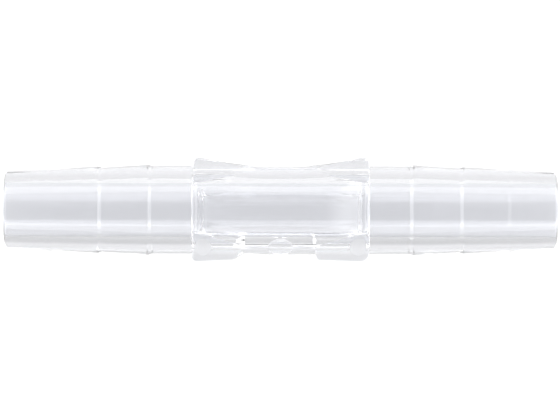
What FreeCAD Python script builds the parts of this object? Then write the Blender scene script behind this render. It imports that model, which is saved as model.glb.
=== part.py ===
import FreeCAD, Part
import math
import os
import Sketcher

# A straight connector for soft hose, moulded in one piece of clear plastic.
# Its bore runs along X. Each end is a spigot with three barbs that grow toward the middle.
# Between them is a finger grip: a bar with flat sides that lies on the widest of them.
# Its top and the side at +Y are turned away to a waist, like an hourglass.
# The side at -Y keeps a block at each end, with a low saddle between them.
# The origin is the middle of the connector, on the bore's axis.

NODE = "tube_connector"

SIZES = (
    ("overall_length", 70.0, "tip to tip"),
    ("bore_diameter", 6.9, "straight through"),
    ("tip_diameter", 9.65, "outside, at the end of a spigot"),
    ("root_diameter", 11.15, "plain stretch between the last barb and the grip"),
    ("first_crest_diameter", 10.45, "barb nearest the tip"),
    ("first_crest_reach", 5.9, "from the tip"),
    ("first_foot_diameter", 10.3, "behind the first barb"),
    ("second_crest_diameter", 11.0, "middle barb"),
    ("second_crest_reach", 11.9, "from the tip"),
    ("second_foot_diameter", 10.65, "behind the middle barb"),
    ("third_crest_diameter", 11.45, "barb nearest the grip"),
    ("third_crest_reach", 18.25, "from the tip"),
    ("barb_back", 0.45, "length of the slope behind each crest"),
    ("grip_length", 22.5, "between the two spigots"),
    ("grip_across_flats", 11.45, "twice the way from the axis to each flat of the bar"),
    ("grip_flare_diameter", 13.8, "waist's curve, at the ends of the grip"),
    ("grip_waist_diameter", 11.0, "waist's curve, in the middle"),
    ("waist_above", 150.0, "degrees that the waist is turned, from +Y over the top"),
    ("waist_below", 60.0, "degrees that it is turned from +Y the other way, to the flat"),
    ("saddle_diameter", 11.25, "low part between the two blocks"),
    ("saddle_left", 4.8, "from the middle to the foot of the left block"),
    ("saddle_right", 4.35, "from the middle to the foot of the right block"),
    ("block_ramp_left", 1.15, "length of the left block's inner slope"),
    ("block_ramp_right", 0.4, "length of the right block's inner slope"),
    ("block_inner_diameter", 12.6, "over the blocks, at their inner ends"),
    ("block_outer_diameter", 13.05, "over the blocks, at the ends of the grip"),
    ("block_sector", 30.0, "degrees that the blocks are turned, above -Y"),
    ("pad_diameter", 3.2, "round pad for a mark, above the saddle"),
    ("pad_height", 5.7, "from the axis to the pad's face"),
    ("spot_diameter", 2.1, "flat round spots that the part is pushed out of its mould by"),
    ("spot_inset", 1.45, "from the ends of the grip to the middle of each spot"),
    ("spot_offset", 4.85, "from the axis to the middle of each spot"),
    ("spot_height", 3.2, "of each spot's face, above the axis"),
    ("tip_round", 0.4, "radius of the outer edge at each tip"),
    ("mouth_bevel", 0.2, "on the bore's edges"),
    ("grip_end_round", 0.85, "radius of the waisted corners at the ends of the grip"),
    ("flat_end_round_left", 0.7, "radius at the left end of the grip's flats"),
    ("flat_end_round_right", 0.3, "radius at the right end of the grip's flats"),
    ("block_end_round_left", 0.6, "radius of the left block's outer corner"),
    ("block_end_round_right", 1.1, "radius of the right block's outer corner"),
)

FACET_TURN = 60  # degrees that the upper facets lean away from level
GRIP_END = "Sizes.grip_length / 2"
CORNER = "Sizes.grip_across_flats / sqrt(3)"
OUTSIDE = "Sizes.grip_across_flats * 1.1"  # clear of the bar, for the outlines of cuts
PAST_GRIP = "Sizes.grip_length / 2 + Sizes.grip_end_round"  # the same, past its ends
DEEP = "Sizes.bore_diameter / 2"  # the same, well inside the spigots



def make_sheet(doc):
    """Put every driving size in a sheet of its own name."""
    sheet = doc.addObject("Spreadsheet::Sheet", "Sizes")
    for row, (name, size, note) in enumerate(SIZES, start=1):
        sheet.set(f"A{row}", name)
        sheet.set(f"B{row}", str(size))
        sheet.setAlias(f"B{row}", name)
        sheet.set(f"C{row}", note)
    doc.recompute()
    return sheet


class Moulding:
    """The body that the moulding's features are added to, with the sheet that drives them."""

    def __init__(self, doc, sheet, label):
        self.doc = doc
        self.sheet = sheet
        self.body = doc.addObject("PartDesign::Body", label)
        self.body.Label = label

    def worth(self, expression):
        """The number that an expression on the sheet gives now."""
        return float(self.sheet.evalExpression(expression))

    def point(self, across, up):
        """The point of a sketch that two expressions give now."""
        return FreeCAD.Vector(self.worth(across), self.worth(up), 0)

    def plane(self, role):
        return next(f for f in self.body.Origin.OriginFeatures if f.Role == role)

    def sketch(self, name, role):
        sketch = self.body.newObject("Sketcher::SketchObject", name)
        sketch.AttachmentSupport = [(self.plane(role), "")]
        sketch.MapMode = "FlatFace"
        return sketch

    def feature(self, kind, name, sketch):
        feature = self.body.newObject(kind, name)
        feature.Profile = sketch
        sketch.Visibility = False
        return feature

    def volume(self):
        self.doc.recompute()
        return self.body.Shape.Volume


def size_up(sketch, constraint, name, expression):
    """Add a constraint that takes its size from an expression on the sheet."""
    index = sketch.addConstraint(constraint)
    sketch.renameConstraint(index, name)
    sketch.setExpression(f"Constraints.{name}", expression)


def pin(sketch, edge, end, name, across, up):
    """Hold one end of an edge at a place that two expressions give, from the sketch's origin."""
    point = sketch.getPoint(edge, end)
    for way, place, expression in (("X", point.x, across), ("Y", point.y, up)):
        constraint = Sketcher.Constraint(f"Distance{way}", -1, 1, edge, end, place)
        size_up(sketch, constraint, f"{name}_{way}", expression)


def join(sketch, edge, next_edge):
    """Let the end of one edge be the start of the next."""
    sketch.addConstraint(Sketcher.Constraint("Coincident", edge, 2, next_edge, 1))


def outline(moulding, sketch, corners, through=None):
    """Draw a closed outline of straight edges between corners, each a pair of expressions.

    With through given, the edge that closes the outline is an arc through that place.
    """
    points = [moulding.point(*corner) for corner in corners]
    edges = [
        sketch.addGeometry(Part.LineSegment(point, next_point))
        for point, next_point in zip(points, points[1:])
    ]
    if through:
        arc = Part.Arc(points[-1], moulding.point(*through), points[0])
        edges.append(sketch.addGeometry(arc))
        middle = sketch.addGeometry(Part.Point(moulding.point(*through)), True)
        sketch.addConstraint(Sketcher.Constraint("PointOnObject", middle, 1, edges[-1]))
        pin(sketch, middle, 1, "through", *through)
    else:
        edges.append(sketch.addGeometry(Part.LineSegment(points[-1], points[0])))
    for n, edge in enumerate(edges):
        join(sketch, edge, edges[(n + 1) % len(edges)])
        pin(sketch, edge, 1, f"corner_{n}", *corners[n])
    return edges


def beside(sketch, edge, end, reach):
    """The point of an edge at a distance from its start, or from its end, but not past halfway."""
    curve = sketch.Geometry[edge]
    share = min(0.5, reach / curve.length())
    if end == 2:
        share = 1 - share
    return curve.value(curve.FirstParameter + (curve.LastParameter - curve.FirstParameter) * share)


def round_corner(moulding, sketch, edge, next_edge, name, radius):
    """Round the corner where one edge of a sketch ends and the next begins."""
    arc = sketch.GeometryCount
    size = moulding.worth(radius)
    before, after = beside(sketch, edge, 2, size / 2), beside(sketch, next_edge, 1, size / 2)
    sketch.fillet(edge, next_edge, before, after, size, True, True)
    size_up(sketch, Sketcher.Constraint("Radius", arc, size), name, radius)


def circle_on_axis(moulding, sketch, radius):
    """Draw a circle about the sketch's origin."""
    size = moulding.worth(radius)
    circle = Part.Circle(FreeCAD.Vector(0, 0, 0), FreeCAD.Vector(0, 0, 1), size)
    index = sketch.addGeometry(circle)
    sketch.addConstraint(Sketcher.Constraint("Coincident", index, 3, -1, 1))
    size_up(sketch, Sketcher.Constraint("Radius", index, size), "radius", radius)


def edges_at(shape, places, keep):
    """Names of the edges that lie square across the axis at one of some places along it."""
    near = 1e-4
    names = []
    for number, edge in enumerate(shape.Edges, start=1):
        first, last = edge.ParameterRange
        points = [edge.valueAt(first + (last - first) * share) for share in (0, 0.3, 0.6, 1)]
        across = any(all(abs(point.x - place) < near for point in points) for place in places)
        if across and all(keep(math.hypot(point.y, point.z)) for point in points):
            names.append(f"Edge{number}")
    return names


def dress_edges(moulding, kind, name, size, ends, keep):
    """Round or bevel the edges across the axis at some ends whose distance from it is kept."""
    moulding.doc.recompute()
    base = moulding.body.Tip
    edges = edges_at(base.Shape, [moulding.worth(end) for end in ends], keep)
    if not edges:
        raise RuntimeError(f"{name} finds no edge")
    dressing = moulding.body.newObject(f"PartDesign::{kind}", name)
    dressing.Base = (base, edges)
    dressing.setExpression({"Fillet": "Radius", "Chamfer": "Size"}[kind], f"Sizes.{size}")
    moulding.doc.recompute()


def add_spigots(moulding):
    """Turn the right-hand spigot, with its root just inside the grip, and mirror it."""
    tip = "Sizes.overall_length / 2"
    start = f"{GRIP_END} - Sizes.grip_end_round"
    sketch = moulding.sketch("spigot_outline", "XY_Plane")
    corners = [(start, "0"), (start, "Sizes.root_diameter / 2")]
    for crest, foot in (("third", "root"), ("second", "second_foot"), ("first", "first_foot")):
        place = f"{tip} - Sizes.{crest}_crest_reach"
        corners.append((f"{place} - Sizes.barb_back", f"Sizes.{foot}_diameter / 2"))
        corners.append((place, f"Sizes.{crest}_crest_diameter / 2"))
    corners.append((tip, "Sizes.tip_diameter / 2"))
    corners.append((tip, "0"))
    outline(moulding, sketch, corners)

    spigot = moulding.feature("PartDesign::Revolution", "spigot", sketch)
    spigot.ReferenceAxis = (sketch, ["H_Axis"])
    spigot.Angle = 360
    moulding.doc.recompute()

    both = moulding.body.newObject("PartDesign::Mirrored", "both_spigots")
    both.Originals = [spigot]
    both.MirrorPlane = (moulding.plane("YZ_Plane"), [""])
    moulding.body.Tip = both
    moulding.doc.recompute()


def add_grip_bar(moulding):
    """Pad the bar that the grip is cut from: a roof, an upright side at -Y and a flat below.

    The ends of its flats are rounded here, while nothing stands on them yet.
    """
    low = "-Sizes.grip_across_flats / 2"
    corners = [
        (CORNER, "0"),
        ("0", "Sizes.grip_across_flats"),
        (f"-{CORNER}", "0"),
        (f"-{CORNER}", low),
        (f"{CORNER} / 2", low),
    ]
    sketch = moulding.sketch("grip_section", "YZ_Plane")
    outline(moulding, sketch, corners)
    bar = moulding.feature("PartDesign::Pad", "grip_bar", sketch)
    bar.setExpression("Length", "Sizes.grip_length")
    bar.Midplane = True
    for side, end in (("left", f"-{GRIP_END}"), ("right", GRIP_END)):
        size = f"flat_end_round_{side}"
        dress_edges(moulding, "Fillet", f"{side}_flat_ends", size, [end], lambda far: True)


def must_shrink(moulding, name, before):
    if moulding.volume() >= before:
        raise RuntimeError(f"{name} cut nothing")


def cut_round(moulding, name, sketch, angle, other_angle=None):
    """Turn an outline about the bore's axis, to one side or to both, to cut the bar."""
    before = moulding.volume()
    groove = moulding.feature("PartDesign::Groove", name, sketch)
    groove.ReferenceAxis = (sketch, ["H_Axis"])
    groove.setExpression("Angle", angle)
    if other_angle:
        groove.Type = "TwoAngles"
        groove.setExpression("Angle2", other_angle)
    must_shrink(moulding, name, before)
    return groove


def cut_waist(moulding):
    """Waist the top and the side at +Y, down to the flat that the grip lies on."""
    flare = "Sizes.grip_flare_diameter / 2"
    corners = [
        (GRIP_END, flare),
        (GRIP_END, DEEP),
        (PAST_GRIP, DEEP),
        (PAST_GRIP, OUTSIDE),
        (f"-({PAST_GRIP})", OUTSIDE),
        (f"-({PAST_GRIP})", DEEP),
        (f"-{GRIP_END}", DEEP),
        (f"-{GRIP_END}", flare),
    ]
    waist = ("0", "Sizes.grip_waist_diameter / 2")
    sketch = moulding.sketch("waist_outline", "XY_Plane")
    edges = outline(moulding, sketch, corners, through=waist)
    curve, right, left = edges[-1], edges[0], edges[-2]
    round_corner(moulding, sketch, curve, right, "right_round", "Sizes.grip_end_round")
    round_corner(moulding, sketch, left, curve, "left_round", "Sizes.grip_end_round")
    cut_round(moulding, "waist", sketch, "Sizes.waist_above", "Sizes.waist_below")


def cut_saddle(moulding):
    """Cut the side at -Y down to two blocks with a saddle between them.

    One outline is turned above the axis and cut straight down below it.
    """
    inner = "-Sizes.block_inner_diameter / 2"
    outer = "-Sizes.block_outer_diameter / 2"
    floor = "-Sizes.saddle_diameter / 2"
    corners = [
        (f"-{GRIP_END}", outer),
        ("-Sizes.saddle_left - Sizes.block_ramp_left", inner),
        ("-Sizes.saddle_left", floor),
        ("Sizes.saddle_right", floor),
        ("Sizes.saddle_right + Sizes.block_ramp_right", inner),
        (GRIP_END, outer),
        (GRIP_END, f"-{DEEP}"),
        (PAST_GRIP, f"-{DEEP}"),
        (PAST_GRIP, f"-{OUTSIDE}"),
        (f"-({PAST_GRIP})", f"-{OUTSIDE}"),
        (f"-({PAST_GRIP})", f"-{DEEP}"),
        (f"-{GRIP_END}", f"-{DEEP}"),
    ]
    sketch = moulding.sketch("saddle_outline", "XY_Plane")
    edges = outline(moulding, sketch, corners)
    for side, before, after in (("right", edges[4], edges[5]), ("left", edges[-1], edges[0])):
        size = f"Sizes.block_end_round_{side}"
        round_corner(moulding, sketch, before, after, f"{side}_round", size)
    turned = cut_round(moulding, "saddle_above", sketch, "Sizes.block_sector")
    turned.Reversed = True
    moulding.doc.recompute()

    before = moulding.volume()
    straight = moulding.feature("PartDesign::Pocket", "saddle_below", sketch)
    straight.setExpression("Length", "Sizes.grip_across_flats")
    must_shrink(moulding, "saddle_below", before)


def add_pad(moulding):
    """Raise a round pad on the facet that faces up and toward -Y."""
    before = moulding.volume()
    sketch = moulding.sketch("pad_section", "XY_Plane")
    sketch.AttachmentOffset = FreeCAD.Placement(
        FreeCAD.Vector(0, 0, 0), FreeCAD.Rotation(FreeCAD.Vector(1, 0, 0), FACET_TURN)
    )
    circle_on_axis(moulding, sketch, "Sizes.pad_diameter / 2")
    pad = moulding.feature("PartDesign::Pad", "pad", sketch)
    pad.setExpression("Length", "Sizes.pad_height")
    if moulding.volume() <= before:
        raise RuntimeError("the pad is sunk in the grip")


def add_spots(moulding):
    """Level the upper facet of each block at a round spot, where an ejector pin pushed."""
    across = "Sizes.grip_length / 2 - Sizes.spot_inset"
    up = "-Sizes.spot_offset"
    for name, kind in (("spot_fill", "PartDesign::Pad"), ("spot_cut", "PartDesign::Pocket")):
        before = moulding.volume()
        sketch = moulding.sketch(f"{name}_section", "XY_Plane")
        for side, sign in (("right", ""), ("left", "-")):
            place = (f"{sign}({across})", up)
            radius = moulding.worth("Sizes.spot_diameter / 2")
            circle = sketch.addGeometry(
                Part.Circle(moulding.point(*place), FreeCAD.Vector(0, 0, 1), radius)
            )
            pin(sketch, circle, 3, side, *place)
            constraint = Sketcher.Constraint("Radius", circle, radius)
            size_up(sketch, constraint, f"{side}_radius", "Sizes.spot_diameter / 2")
        feature = moulding.feature(kind, name, sketch)
        if kind == "PartDesign::Pocket":
            sketch.setExpression("AttachmentOffset.Base.z", "Sizes.spot_height")
            feature.Reversed = True
            feature.setExpression("Length", "Sizes.grip_across_flats")
        else:
            feature.setExpression("Length", "Sizes.spot_height")
        if (moulding.volume() > before) == (kind == "PartDesign::Pocket"):
            raise RuntimeError(f"{name} works the wrong way")


def cut_bore(moulding):
    """Run the bore through both spigots."""
    sketch = moulding.sketch("bore_section", "YZ_Plane")
    circle_on_axis(moulding, sketch, "Sizes.bore_diameter / 2")
    before = moulding.volume()
    bore = moulding.feature("PartDesign::Pocket", "bore", sketch)
    bore.Midplane = True
    bore.setExpression("Length", "Sizes.overall_length * 2")
    must_shrink(moulding, "bore", before)


def dress_tips(moulding):
    """Round the tips and bevel the bore's mouths."""
    tips = ["Sizes.overall_length / 2", "-Sizes.overall_length / 2"]
    halfway = moulding.worth("(Sizes.bore_diameter + Sizes.tip_diameter) / 4")
    dress_edges(moulding, "Fillet", "tips", "tip_round", tips, lambda far: far > halfway)
    dress_edges(moulding, "Chamfer", "mouths", "mouth_bevel", tips, lambda far: far < halfway)


def check(doc, moulding):
    """Stop if any object of the document failed or if the moulding isn't one good solid."""
    doc.recompute()
    failed = [o.Name for o in doc.Objects if {"Invalid", "Error"} & set(o.State)]
    if failed:
        raise RuntimeError(f"these objects failed: {failed}")
    shape = moulding.body.Shape
    if shape.isNull() or not shape.isValid() or len(shape.Solids) != 1:
        raise RuntimeError("the moulding isn't one valid solid")


def main():
    doc = FreeCAD.newDocument("hose_connector")
    moulding = Moulding(doc, make_sheet(doc), NODE)
    add_grip_bar(moulding)
    cut_waist(moulding)
    cut_saddle(moulding)
    add_spigots(moulding)
    add_pad(moulding)
    add_spots(moulding)
    cut_bore(moulding)
    dress_tips(moulding)
    check(doc, moulding)
    os.makedirs("parts", exist_ok=True)
    moulding.body.Shape.exportStep(f"parts/{NODE}.step")
    print(f"{NODE}: {moulding.body.Shape.Volume:.1f} mm3, {len(moulding.body.Shape.Faces)} faces")


main()
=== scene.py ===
"""Dresses a clear hose connector: its plastic, the studio round it and the camera above it.

The connector lies on a flat, with its bore along X. The camera looks down on it from almost
straight above. Two long soft lamps hang on either side of it, above and below it in the
picture, and a small key lamp lights the card that it lies on.
"""

import math

import bpy
from bpy.props import FloatProperty, FloatVectorProperty, IntProperty, PointerProperty
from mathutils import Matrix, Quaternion, Vector


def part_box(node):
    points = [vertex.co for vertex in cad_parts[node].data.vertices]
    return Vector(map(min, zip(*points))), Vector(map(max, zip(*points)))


bl_info = {
    "name": "Hose connector dressing",
    "version": (1, 0, 0),
    "blender": (4, 5, 0),
    "location": "3D View > Sidebar > Connector",
    "description": "Clear plastic, a plain studio and a camera for a moulded hose connector",
    "category": "Object",
}

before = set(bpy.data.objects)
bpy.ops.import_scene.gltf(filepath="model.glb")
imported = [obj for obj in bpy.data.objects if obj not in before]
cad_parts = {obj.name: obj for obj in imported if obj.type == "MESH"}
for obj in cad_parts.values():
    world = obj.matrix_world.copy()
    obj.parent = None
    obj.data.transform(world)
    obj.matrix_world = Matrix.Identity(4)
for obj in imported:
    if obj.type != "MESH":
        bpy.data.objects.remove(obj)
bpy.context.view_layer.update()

NODE = "tube_connector"
LOW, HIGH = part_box(NODE)
LENGTH = HIGH[0] - LOW[0]
GRIP_SHARE = 0.322  # of the connector's length
GRIP_HALF = LENGTH * GRIP_SHARE / 2  # from the middle to each end of the grip
PICTURE_WIDTH = 560  # pixels
SENSOR_WIDTH = 36  # millimetres, of the camera
CLIP_SHARES = (0.01, 100)  # of the camera's distance, between which things are seen
FLOOR_GAP = 0.00003  # a hair of air, so that the flat doesn't share the floor's own plane
FLOOR_SIZE = LENGTH * 60

# Where the painted shadow, painted shade and painted pool of light on the card's whiteness through
# the plastic change, in shares of the way from the axis to an edge
PAINTED_SHADOW_BELOW = (1.35, 1.05)  # of the way to the connector's edge at -Y
PAINTED_SHADE_ABOVE = (0.7, 1.4)  # of the way to its edge at +Y
PAINTED_LIGHT_INNER = (0.75, 0.6)  # of the way to its edge at -Y
PAINTED_LIGHT_GRIP_END = (0.95, 1.05)  # of the way to the end of the grip

# Where the surroundings change, as X or Z of a direction of length 1
SKY_DIMS = (0.4, 0.8)
LEFT_SHINES = (-0.35, -0.2)
RIGHT_SHINES = (0.35, 0.55)
SIDES_END = (0.7, 0.8)


class PlasticSettings(bpy.types.PropertyGroup):
    """The connector's clear plastic."""

    tint: FloatVectorProperty(
        name="Tint",
        description="What one wall of the plastic lets through",
        subtype="COLOR",
        size=3,
        min=0,
        max=1,
        default=(0.86, 0.866, 0.89),
    )
    bending: FloatProperty(
        name="Index of refraction",
        description="How much the plastic bends light",
        min=1,
        max=2,
        default=1.58,
    )
    haze: FloatProperty(
        name="Haze",
        description="Roughness of the moulded surface where it is clearest",
        subtype="FACTOR",
        min=0,
        max=1,
        default=0.045,
    )
    cloud: FloatProperty(
        name="Cloudiness",
        description="Roughness that the duller streaks add",
        subtype="FACTOR",
        min=0,
        max=1,
        default=0.05,
    )
    ripple: FloatProperty(
        name="Ripple",
        description="Height of the waves that the flowing plastic left in the surface",
        subtype="DISTANCE",
        unit="LENGTH",
        min=0,
        default=0.00001,
        precision=6,
    )
    mirrorings: IntProperty(
        name="Mirrorings followed",
        description="Times that the plastic may mirror a ray before it lets the ray straight out",
        min=1,
        default=4,
    )
    shade: FloatProperty(
        name="Light let through",
        description="Share of the light that passes each surface where it goes straight on",
        subtype="FACTOR",
        min=0,
        max=1,
        default=0.9,
    )


class StudioSettings(bpy.types.PropertyGroup):
    """The floor, the lamps and what surrounds them."""

    floor_colour: FloatVectorProperty(
        name="Floor colour",
        description="White card that the connector lies on",
        subtype="COLOR",
        size=3,
        min=0,
        max=1,
        default=(0.55, 0.55, 0.55),
    )
    floor_glow: FloatProperty(
        name="Floor whiteness",
        description="Light that the card adds where it is seen, so that it shows white",
        min=0,
        max=1,
        default=0.65,
    )
    floor_glow_through: FloatProperty(
        name="Floor whiteness through the plastic",
        description="The same where it is mirrored, or seen through the connector",
        min=0,
        max=1,
        default=0.52,
    )
    # Painted shade: the card's whiteness through the plastic falls to this share beside the
    # connector toward +Y.
    painted_shade_above: FloatProperty(
        name="Share of it above the connector",
        description="Share of that whiteness that the card keeps beside the connector, toward +Y",
        subtype="FACTOR",
        min=0,
        max=1,
        default=0.75,
    )
    # Painted shadow: the card's whiteness through the plastic falls to this share beside the
    # connector toward -Y, where the connector's shadow lies.
    painted_shadow_below: FloatProperty(
        name="Share of it below the connector",
        description="Share of that whiteness that the card keeps beside the connector, toward -Y",
        subtype="FACTOR",
        min=0,
        max=1,
        default=0.5,
    )
    # Painted pool of light: the card's whiteness through the plastic is raised by this factor
    # beneath the grip's two blocks.
    painted_as_gathered: FloatProperty(
        name="Light gathered by the blocks",
        description="How much brighter the card is beneath the grip's two blocks",
        min=1,
        default=1.21,
    )
    lamp_reach: FloatProperty(
        name="Lamp distance",
        description="From the connector to the middle of each lamp",
        subtype="DISTANCE",
        unit="LENGTH",
        min=0.05,
        default=0.5,
    )
    lamp_length: FloatProperty(
        name="Lamp length",
        description="Along the connector",
        subtype="DISTANCE",
        unit="LENGTH",
        min=0.01,
        default=2.0,
    )
    upper_angle: FloatProperty(
        name="Upper lamp's angle",
        description="From straight above toward +Y",
        subtype="ANGLE",
        unit="ROTATION",
        default=math.radians(67),
    )
    upper_width: FloatProperty(
        name="Upper lamp's width",
        description="Across the connector",
        subtype="DISTANCE",
        unit="LENGTH",
        min=0.01,
        default=0.38,
    )
    lower_angle: FloatProperty(
        name="Lower lamp's angle",
        description="From straight above toward -Y",
        subtype="ANGLE",
        unit="ROTATION",
        default=math.radians(52),
    )
    lower_width: FloatProperty(
        name="Lower lamp's width",
        description="Across the connector",
        subtype="DISTANCE",
        unit="LENGTH",
        min=0.01,
        default=0.19,
    )
    upper_level: FloatProperty(
        name="Upper lamp's brightness",
        description="Radiance of its face, where 1 shows as white",
        min=0,
        default=1.45,
    )
    lower_level: FloatProperty(
        name="Lower lamp's brightness",
        description="Radiance of its face, where 1 shows as white",
        min=0,
        default=1.6,
    )
    surround: FloatProperty(
        name="Surround",
        description="Light that comes from all round",
        min=0,
        max=1,
        default=0.4,
    )
    key_level: FloatProperty(
        name="Key lamp's light",
        description="What it adds to a white floor, where 1 shows as white",
        min=0,
        max=1,
        default=0.35,
    )
    key_angle: FloatProperty(
        name="Key lamp's angle",
        description="From straight above toward +Y",
        subtype="ANGLE",
        unit="ROTATION",
        default=math.radians(55),
    )
    key_width: FloatProperty(
        name="Key lamp's width",
        description="Across both ways",
        subtype="DISTANCE",
        unit="LENGTH",
        min=0.01,
        default=0.15,
    )
    side_level: FloatProperty(
        name="Side brightness",
        description="Brightness of what the connector mirrors beyond its two ends",
        min=0,
        default=3.0,
    )
    overhead: FloatProperty(
        name="Overhead",
        description="Brightness of what the connector mirrors from straight above",
        min=0,
        max=1,
        default=0.5,
    )


class CameraSettings(bpy.types.PropertyGroup):
    """The camera and its framing."""

    elevation: FloatProperty(
        name="Elevation",
        description="Above the horizon",
        subtype="ANGLE",
        unit="ROTATION",
        default=math.radians(88),
    )
    roll: FloatProperty(
        name="Roll",
        description="Turn of the camera about its own view",
        subtype="ANGLE",
        unit="ROTATION",
        default=math.radians(0.115),
    )
    reach: FloatProperty(
        name="Distance",
        description="From the middle of the connector",
        subtype="DISTANCE",
        unit="LENGTH",
        min=0.1,
        default=0.8,
    )
    connector_width: FloatProperty(
        name="Connector's width in the picture",
        description="In pixels, tip to tip",
        min=1,
        default=552,
    )
    aside: FloatProperty(
        name="Offset to the right",
        description="Of the connector from the middle of the picture, in pixels",
        default=0.6,
    )
    below: FloatProperty(
        name="Offset downward",
        description="Of the connector from the middle of the picture, in pixels",
        default=0.0,
    )


def make_group(name, inputs, outputs):
    """A shader node group with its own input and output sockets."""
    group = bpy.data.node_groups.new(name, "ShaderNodeTree")
    for label, kind, value in inputs:
        socket = group.interface.new_socket(label, in_out="INPUT", socket_type=kind)
        if value is not None:
            socket.default_value = value
    for label, kind in outputs:
        group.interface.new_socket(label, in_out="OUTPUT", socket_type=kind)
    return group, Graph(group)


class Graph:
    """Adds nodes to a tree and links them."""

    def __init__(self, tree):
        self.tree = tree

    def node(self, kind, links=None, **settings):
        """Add a node, set its properties, and feed its inputs with values or sockets."""
        node = self.tree.nodes.new(kind)
        for name, value in settings.items():
            setattr(node, name, value)
        for place, source in (links or {}).items():
            if isinstance(source, bpy.types.NodeSocket):
                self.tree.links.new(source, node.inputs[place])
            else:
                node.inputs[place].default_value = source
        return node

    def maths(self, operation, *values, clamp=False):
        node = self.node(
            "ShaderNodeMath", dict(enumerate(values)), operation=operation, use_clamp=clamp
        )
        return node.outputs[0]

    def ramp(self, value, low, high, out_low=0.0, out_high=1.0, smooth=True):
        """Map a value from low..high to out_low..out_high."""
        node = self.node(
            "ShaderNodeMapRange",
            {0: value, 1: low, 2: high, 3: out_low, 4: out_high},
            interpolation_type="SMOOTHSTEP" if smooth else "LINEAR",
        )
        return node.outputs[0]


def shares_of(edge, shares):
    """The places at some shares of the way from the axis to an edge."""
    return [edge * share for share in shares]


def seen_ray(graph):
    """1 for rays of the camera, and for those that it sends on by mirroring or through glass.

    Light that the floor has scattered isn't among them, wherever it goes on to.
    """
    path = graph.node("ShaderNodeLightPath").outputs
    seen = graph.maths("MAXIMUM", path["Is Camera Ray"], path["Is Glossy Ray"])
    seen = graph.maths("MAXIMUM", seen, path["Is Transmission Ray"])
    return graph.maths("SUBTRACT", seen, path["Diffuse Depth"], clamp=True)


def flow_marks():
    """Streaks and waves along the moulding, where the plastic flowed in the mould."""
    group, graph = make_group(
        "flow marks",
        [
            ("Streak size", "NodeSocketFloat", 900.0),
            ("Stretch", "NodeSocketFloat", 0.12),
            ("Wave size", "NodeSocketFloat", 260.0),
        ],
        [("Streaks", "NodeSocketFloat"), ("Waves", "NodeSocketFloat")],
    )
    given = graph.node("NodeGroupInput").outputs
    place = graph.node("ShaderNodeTexCoord").outputs["Object"]
    stretch = graph.node(
        "ShaderNodeCombineXYZ", {"X": given["Stretch"], "Y": 1.0, "Z": 1.0}
    ).outputs[0]
    along = graph.node(
        "ShaderNodeVectorMath", {0: place, 1: stretch}, operation="MULTIPLY"
    ).outputs[0]
    streaks = graph.node(
        "ShaderNodeTexNoise",
        {"Vector": along, "Scale": given["Streak size"], "Detail": 3.0, "Roughness": 0.55},
    ).outputs[0]
    waves = graph.node(
        "ShaderNodeTexNoise",
        {"Vector": along, "Scale": given["Wave size"], "Detail": 1.0, "Roughness": 0.4},
    ).outputs[0]
    graph.node(
        "NodeGroupOutput", {"Streaks": graph.ramp(streaks, 0.35, 0.75), "Waves": waves}
    )
    return group


class CONNECTOR_OT_plastic(bpy.types.Operator):
    """Give the moulding its clear plastic"""

    bl_idname = "connector.plastic"
    bl_label = "Clear plastic"

    def execute(self, context):
        settings = context.scene.connector_plastic
        material = bpy.data.materials.new("clear_plastic_moulded")
        material.use_nodes = True
        material.node_tree.nodes.clear()
        graph = Graph(material.node_tree)
        marks = graph.node("ShaderNodeGroup", node_tree=flow_marks())
        rough = graph.ramp(
            marks.outputs["Streaks"], 0, 1, settings.haze, settings.haze + settings.cloud, False
        )
        bump = graph.node(
            "ShaderNodeBump",
            {
                "Strength": 1.0,
                "Distance": settings.ripple,
                "Height": marks.outputs["Waves"],
            },
        )
        plastic = graph.node(
            "ShaderNodeBsdfPrincipled",
            {
                "Base Color": (*settings.tint, 1),
                "Roughness": rough,
                "IOR": settings.bending,
                "Transmission Weight": 1.0,
                "Normal": bump.outputs[0],
            },
        )
        let_through = graph.node(
            "ShaderNodeBsdfTransparent", {"Color": (*(settings.shade,) * 3, 1)}
        )
        # The light of the lamps goes straight on, and so does a ray that is trapped inside.
        path = graph.node("ShaderNodeLightPath").outputs
        trapped = graph.maths("GREATER_THAN", path["Glossy Depth"], settings.mirrorings)
        straight_on = graph.maths("MAXIMUM", path["Is Shadow Ray"], trapped)
        surface = graph.node(
            "ShaderNodeMixShader",
            {0: straight_on, 1: plastic.outputs[0], 2: let_through.outputs[0]},
        )
        graph.node("ShaderNodeOutputMaterial", {"Surface": surface.outputs[0]})
        node = bpy.data.objects[NODE]
        for slot in node.material_slots:
            slot.material = material
        return {"FINISHED"}


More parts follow.
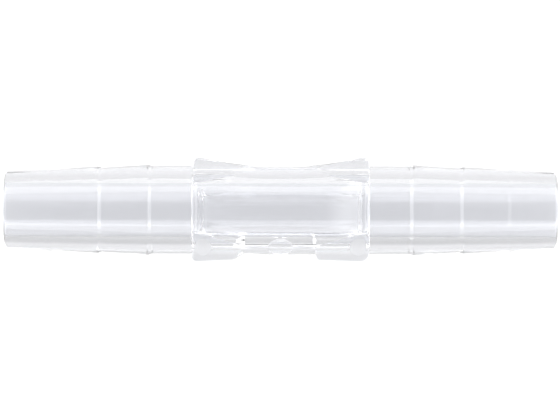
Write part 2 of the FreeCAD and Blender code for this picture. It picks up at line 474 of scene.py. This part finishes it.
class CONNECTOR_OT_studio(bpy.types.Operator):
    """Lay the floor, hang the lamps and set what surrounds them"""

    bl_idname = "connector.studio"
    bl_label = "Studio"

    def execute(self, context):
        settings = context.scene.connector_studio
        self.lay_floor(settings)
        reach, length = settings.lamp_reach, settings.lamp_length
        for name, angle, width, level in (
            ("upper_lamp", settings.upper_angle, settings.upper_width, settings.upper_level),
            ("lower_lamp", -settings.lower_angle, settings.lower_width, settings.lower_level),
        ):
            self.hang_lamp(context, name, reach, angle, (length, width), level)
        # The key lamp's face is as bright as it takes to light a white card to the key level.
        width = settings.key_width
        level = settings.key_level * math.pi * reach**2 / width**2 / math.cos(settings.key_angle)
        key = self.hang_lamp(context, "key_lamp", reach, settings.key_angle, (width, width), level)
        key.visible_glossy = key.visible_transmission = False
        self.surround(context, settings)
        return {"FINISHED"}

    def card_glow(self, graph, settings):
        """Light that the card adds where it is seen, straight or through the plastic, with a
        painted shadow and painted shade beside the connector and a painted pool of light beneath
        the grip's two blocks.
        """
        place = graph.node("ShaderNodeTexCoord").outputs["Object"]
        place = graph.node("ShaderNodeSeparateXYZ", {0: place}).outputs
        across = place["Y"]
        # Painted shadow and shade: the card's whiteness seen through the plastic falls beside the
        # connector, more toward -Y than toward +Y.
        painted_light_and_shade = graph.maths(
            "MULTIPLY",
            graph.ramp(across, *shares_of(LOW[1], PAINTED_SHADOW_BELOW), settings.painted_shadow_below, 1),
            graph.ramp(across, *shares_of(HIGH[1], PAINTED_SHADE_ABOVE), 1, settings.painted_shade_above),
        )
        # Painted pool of light beneath the grip's two blocks, standing in for light that the
        # blocks gather onto the card.
        along = graph.maths("ABSOLUTE", place["X"])
        beneath = graph.maths(
            "MULTIPLY",
            graph.ramp(along, *shares_of(GRIP_HALF, PAINTED_LIGHT_GRIP_END), 1, 0),
            graph.ramp(across, *shares_of(LOW[1], PAINTED_LIGHT_INNER), 1, 0),
        )
        painted_as_gathered = graph.ramp(beneath, 0, 1, 1, settings.painted_as_gathered, smooth=False)
        painted_light_and_shade = graph.maths("MULTIPLY", painted_light_and_shade, painted_as_gathered)
        through = graph.maths("MULTIPLY", seen_ray(graph), settings.floor_glow_through)
        through = graph.maths("MULTIPLY", through, painted_light_and_shade)
        path = graph.node("ShaderNodeLightPath").outputs
        straight = graph.maths("MULTIPLY", path["Is Camera Ray"], settings.floor_glow)
        return graph.maths("MAXIMUM", straight, through)

    def lay_floor(self, settings):
        bpy.ops.object.select_all(action="DESELECT")
        bpy.ops.mesh.primitive_plane_add(size=FLOOR_SIZE, location=(0, 0, LOW[2] - FLOOR_GAP))
        floor = bpy.context.object
        floor.name = "floor"
        bpy.ops.object.transform_apply(location=True, rotation=False, scale=False)
        material = bpy.data.materials.new("white_card")
        material.use_nodes = True
        material.node_tree.nodes.clear()
        graph = Graph(material.node_tree)
        card = graph.node(
            "ShaderNodeBsdfPrincipled",
            {
                "Base Color": (*settings.floor_colour, 1),
                "Roughness": 1.0,
                "Specular IOR Level": 0.0,
                "Emission Color": (1, 1, 1, 1),
                "Emission Strength": self.card_glow(graph, settings),
            },
        )
        graph.node("ShaderNodeOutputMaterial", {"Surface": card.outputs[0]})
        floor.data.materials.append(material)

    def hang_lamp(self, context, name, reach, angle, size, level):
        """Hang a soft lamp over the connector, turned to it, with a face of a given brightness."""
        lamp = bpy.data.lights.new(name, "AREA")
        lamp.shape = "RECTANGLE"
        lamp.size, lamp.size_y = size
        lamp.energy = level * math.pi * lamp.size * lamp.size_y
        hung = bpy.data.objects.new(name, lamp)
        hung.location = Vector((0, math.sin(angle), math.cos(angle))) * reach
        hung.rotation_euler = (-angle, 0, 0)
        context.scene.collection.objects.link(hung)
        return hung

    def surround(self, context, settings):
        """Set plain light from all round, and what the connector mirrors in its place."""
        world = bpy.data.worlds.new("surround")
        world.use_nodes = True
        world.node_tree.nodes.clear()
        graph = Graph(world.node_tree)
        way = graph.node("ShaderNodeTexCoord").outputs["Generated"]
        way = graph.node("ShaderNodeSeparateXYZ", {0: way}).outputs
        sky = graph.ramp(way["Z"], *SKY_DIMS, 1, settings.overhead)
        left = graph.ramp(way["X"], *LEFT_SHINES, settings.side_level, 0)
        right = graph.ramp(way["X"], *RIGHT_SHINES, 0, settings.side_level)
        aside = graph.ramp(graph.maths("ABSOLUTE", way["X"]), *SIDES_END, 1, 0)
        sides = graph.maths("MULTIPLY", graph.maths("ADD", left, right), aside)
        mirrored = graph.maths("MAXIMUM", sky, sides)
        level = graph.node(
            "ShaderNodeMix", {0: seen_ray(graph), 2: settings.surround, 3: mirrored}
        ).outputs[0]
        light = graph.node("ShaderNodeBackground", {"Color": (1, 1, 1, 1), "Strength": level})
        graph.node("ShaderNodeOutputWorld", {"Surface": light.outputs[0]})
        context.scene.world = world


class CONNECTOR_OT_camera(bpy.types.Operator):
    """Set the camera above the connector"""

    bl_idname = "connector.camera"
    bl_label = "Camera"

    def execute(self, context):
        settings = context.scene.connector_camera
        data = bpy.data.cameras.new("camera")
        pixel = LENGTH / settings.connector_width
        data.sensor_width = SENSOR_WIDTH
        data.lens = data.sensor_width * settings.reach / (PICTURE_WIDTH * pixel)
        data.clip_start, data.clip_end = (settings.reach * share for share in CLIP_SHARES)
        camera = bpy.data.objects.new("camera", data)
        back = Vector((0, -math.cos(settings.elevation), math.sin(settings.elevation)))
        turn = (-back).to_track_quat("-Z", "Y") @ Quaternion((0, 0, 1), settings.roll)
        camera.rotation_mode = "QUATERNION"
        camera.rotation_quaternion = turn
        aim = turn @ Vector((-settings.aside * pixel, settings.below * pixel, 0))
        camera.location = aim + back * settings.reach
        context.scene.collection.objects.link(camera)
        context.scene.camera = camera
        context.scene.view_settings.view_transform = "Standard"
        return {"FINISHED"}


class CONNECTOR_PT_sidebar(bpy.types.Panel):
    """Settings and operators of the connector's dressing"""

    bl_label = "Hose connector"
    bl_space_type = "VIEW_3D"
    bl_region_type = "UI"
    bl_category = "Connector"

    def draw(self, context):
        for settings, operator in (
            (context.scene.connector_plastic, "connector.plastic"),
            (context.scene.connector_studio, "connector.studio"),
            (context.scene.connector_camera, "connector.camera"),
        ):
            box = self.layout.box()
            for name in settings.__annotations__:
                box.prop(settings, name)
            box.operator(operator)


CLASSES = (
    PlasticSettings,
    StudioSettings,
    CameraSettings,
    CONNECTOR_OT_plastic,
    CONNECTOR_OT_studio,
    CONNECTOR_OT_camera,
    CONNECTOR_PT_sidebar,
)
SETTINGS = {
    "connector_plastic": PlasticSettings,
    "connector_studio": StudioSettings,
    "connector_camera": CameraSettings,
}


def register():
    for cls in CLASSES:
        bpy.utils.register_class(cls)
    for name, kind in SETTINGS.items():
        setattr(bpy.types.Scene, name, PointerProperty(type=kind))


def unregister():
    for name in SETTINGS:
        delattr(bpy.types.Scene, name)
    for cls in reversed(CLASSES):
        bpy.utils.unregister_class(cls)


def main():
    register()
    bpy.ops.connector.camera()
    bpy.ops.connector.plastic()
    bpy.ops.connector.studio()


if __name__ == "__main__":
    main()
